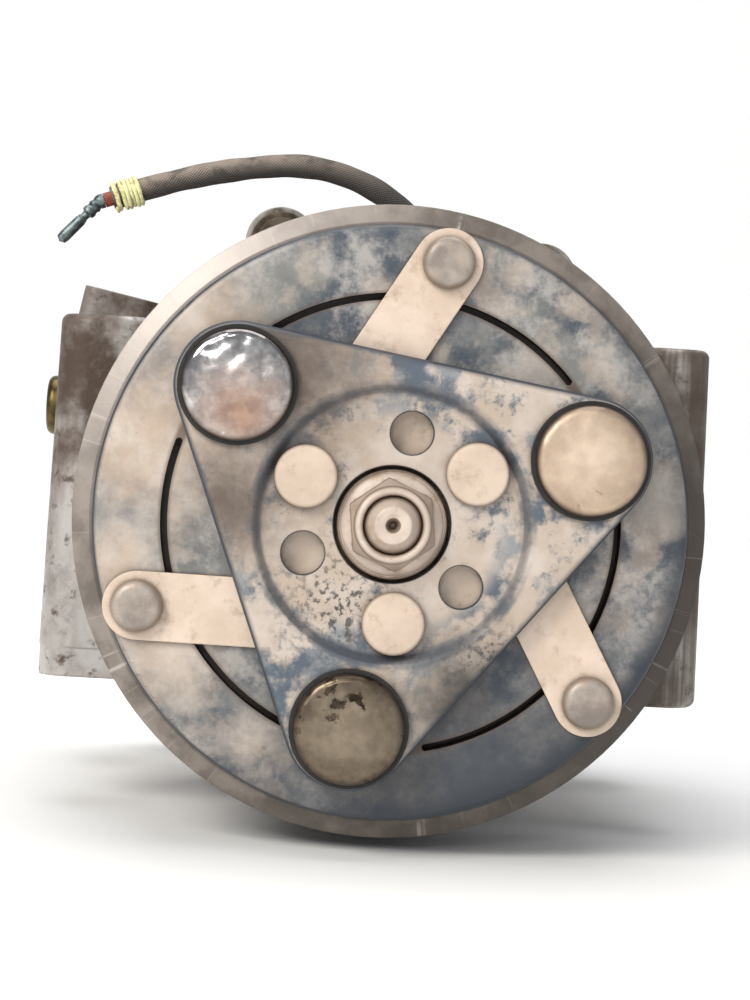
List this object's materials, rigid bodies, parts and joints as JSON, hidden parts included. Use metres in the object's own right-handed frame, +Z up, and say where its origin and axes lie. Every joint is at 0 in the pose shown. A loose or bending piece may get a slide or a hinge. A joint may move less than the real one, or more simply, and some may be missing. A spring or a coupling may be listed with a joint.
{
  "type": "vehicle air-conditioning compressor",
  "caption": "Belt-driven scroll refrigerant compressor with an electromagnetic clutch, ribbed pulley, upright mounting tubes and a sleeved coil lead.",
  "frame": {"origin": "on the shaft line, at the centre of the four vertical mounting bolts", "axes": "+Z up along the mounting bolts, -Y forward along the shaft toward the clutch, +X to the right facing the clutch"},
  "size_m": [0.1333, 0.1548, 0.1231],
  "materials": {
    "clutch_steel": "worn blue-black paint with dust",
    "plate_steel": "worn blue-black paint with dust",
    "pulley_steel": "dusty rim, scraped",
    "dusty_steel": "dust coated spring steel",
    "cap_steel": "zinc plated, stained",
    "bright_steel": "ground bearing steel",
    "bolt_steel": "zinc plated, weathered",
    "cast_aluminium": "die cast, weathered",
    "scroll_aluminium": "machined",
    "coil_steel": "black zinc",
    "coil_resin": "potted winding",
    "rubber": "moulded",
    "sleeve": "varnished braided sleeve",
    "tie": "yellow thread wound round the lead",
    "insulation": "wire insulation",
    "terminal": "tinned, tarnished",
    "brass": "tarnished",
    "cage_plastic": "moulded nylon",
    "seal_plastic": "PTFE"
  },
  "bodies": {
    "housing": {"front_housing": "cast_aluminium", "rear_housing": "cast_aluminium", "housing_bolts": "bolt_steel", "housing_seal": "rubber", "mount_sleeves": "bolt_steel", "coil_housing": "coil_steel", "coil_winding": "coil_resin", "coil_snap_ring": "bolt_steel", "lead_grommet": "rubber", "coil_lead": "sleeve", "lead_tie": "tie", "lead_insulation": "insulation", "lead_terminal": "terminal", "nose_snap_ring": "bolt_steel", "pulley_bearing_inner": "bright_steel", "shaft_seal": "rubber", "seal_snap_ring": "bolt_steel", "front_bearing_shell": "bright_steel", "main_bearing_outer": "bright_steel", "fixed_scroll": "scroll_aluminium", "fixed_tip_seal": "seal_plastic", "scroll_bolts": "bolt_steel", "coupling_ring_fixed": "bright_steel", "reed_stop": "bolt_steel", "reed_screw": "bolt_steel", "relief_valve_body": "brass", "relief_valve_spring": "bright_steel", "oil_plug": "bolt_steel"},
    "pulley": {"pulley": "pulley_steel", "pulley_bearing_outer": "bright_steel", "pulley_snap_ring": "bolt_steel", "pulley_bearing_seals": "rubber"},
    "pulley_bearing_row": {"pulley_bearing_balls": "bright_steel", "pulley_bearing_cage": "cage_plastic"},
    "shaft": {"drive_shaft": "dusty_steel", "shaft_nut": "dusty_steel", "drive_hub": "dusty_steel", "hub_shim": "bright_steel", "hub_rivets": "dusty_steel", "stopper_plate": "plate_steel", "damper_rubbers": "rubber", "damper_caps": "cap_steel", "leaf_springs": "dusty_steel", "counterweight": "bolt_steel", "main_bearing_inner": "bright_steel", "eccentric_bush": "bright_steel", "bush_snap_ring": "bolt_steel"},
    "armature": {"armature_plate": "clutch_steel", "armature_rivets": "dusty_steel"},
    "front_needles": {"front_bearing_needles": "bright_steel"},
    "main_balls": {"main_bearing_balls": "bright_steel", "main_bearing_cage": "cage_plastic"},
    "orbit_needles": {"orbit_bearing_needles": "bright_steel"},
    "orbiting_scroll": {"orbiting_scroll": "scroll_aluminium", "orbiting_tip_seal": "seal_plastic", "coupling_ring_orbiting": "bright_steel", "orbit_bearing_shell": "bright_steel"},
    "coupling_balls": {"coupling_balls": "bright_steel"},
    "reed": {"discharge_reed": "bright_steel"},
    "relief_poppet": {"relief_valve_poppet": "brass"}
  },
  "joints": [
    {"name": "pulley_spin", "type": "hinge", "parent": "housing", "child": "pulley", "pos_m": [0, -0.06, 0], "axis": [0, 1, 0], "continuous": true},
    {"name": "pulley_bearing_spin", "type": "hinge", "parent": "housing", "child": "pulley_bearing_row", "pos_m": [0, -0.06, 0], "axis": [0, 1, 0], "continuous": true},
    {"name": "shaft_spin", "type": "hinge", "parent": "housing", "child": "shaft", "pos_m": [0, -0.03, 0], "axis": [0, 1, 0], "continuous": true},
    {"name": "armature_pull", "type": "slide", "parent": "shaft", "child": "armature", "axis": [0, 1, 0], "range_m": [0, 0.00045], "stiffness_N_per_m": 60000, "deforming": ["leaf_springs"]},
    {"name": "front_needle_spin", "type": "hinge", "parent": "housing", "child": "front_needles", "pos_m": [0, -0.044, 0], "axis": [0, 1, 0], "continuous": true},
    {"name": "main_ball_spin", "type": "hinge", "parent": "housing", "child": "main_balls", "pos_m": [0, -0.026, 0], "axis": [0, 1, 0], "continuous": true},
    {"name": "orbit_needle_spin", "type": "hinge", "parent": "shaft", "child": "orbit_needles", "pos_m": [0.00395, -0.0085, 0], "axis": [0, 1, 0], "continuous": true},
    {"name": "scroll_orbit", "type": "hinge", "parent": "shaft", "child": "orbiting_scroll", "pos_m": [0.00395, -0.008, 0], "axis": [0, 1, 0], "continuous": true},
    {"name": "coupling_orbit", "type": "hinge", "parent": "shaft", "child": "coupling_balls", "pos_m": [0.00198, -0.0045, 0], "axis": [0, 1, 0], "continuous": true},
    {"name": "reed_lift", "type": "hinge", "parent": "housing", "child": "reed", "pos_m": [0.006, 0.0292, 0], "axis": [0, 0, -1], "range_deg": [0, 8], "stiffness_Nm_per_rad": 0.5, "deforming": ["discharge_reed"]},
    {"name": "relief_lift", "type": "slide", "parent": "housing", "child": "relief_poppet", "axis": [-1, 0, 0], "range_m": [0, 0.002], "stiffness_N_per_m": 20000, "deforming": ["relief_valve_spring"]}
  ],
  "couplings": [
    {"joint": "pulley_bearing_spin", "follows": "pulley_spin", "ratio": 0.56111},
    {"joint": "front_needle_spin", "follows": "shaft_spin", "ratio": 0.43265},
    {"joint": "main_ball_spin", "follows": "shaft_spin", "ratio": 0.39516},
    {"joint": "orbit_needle_spin", "follows": "shaft_spin", "ratio": -0.54533},
    {"joint": "scroll_orbit", "follows": "shaft_spin", "ratio": -1},
    {"joint": "coupling_orbit", "follows": "shaft_spin", "ratio": -1}
  ]
}
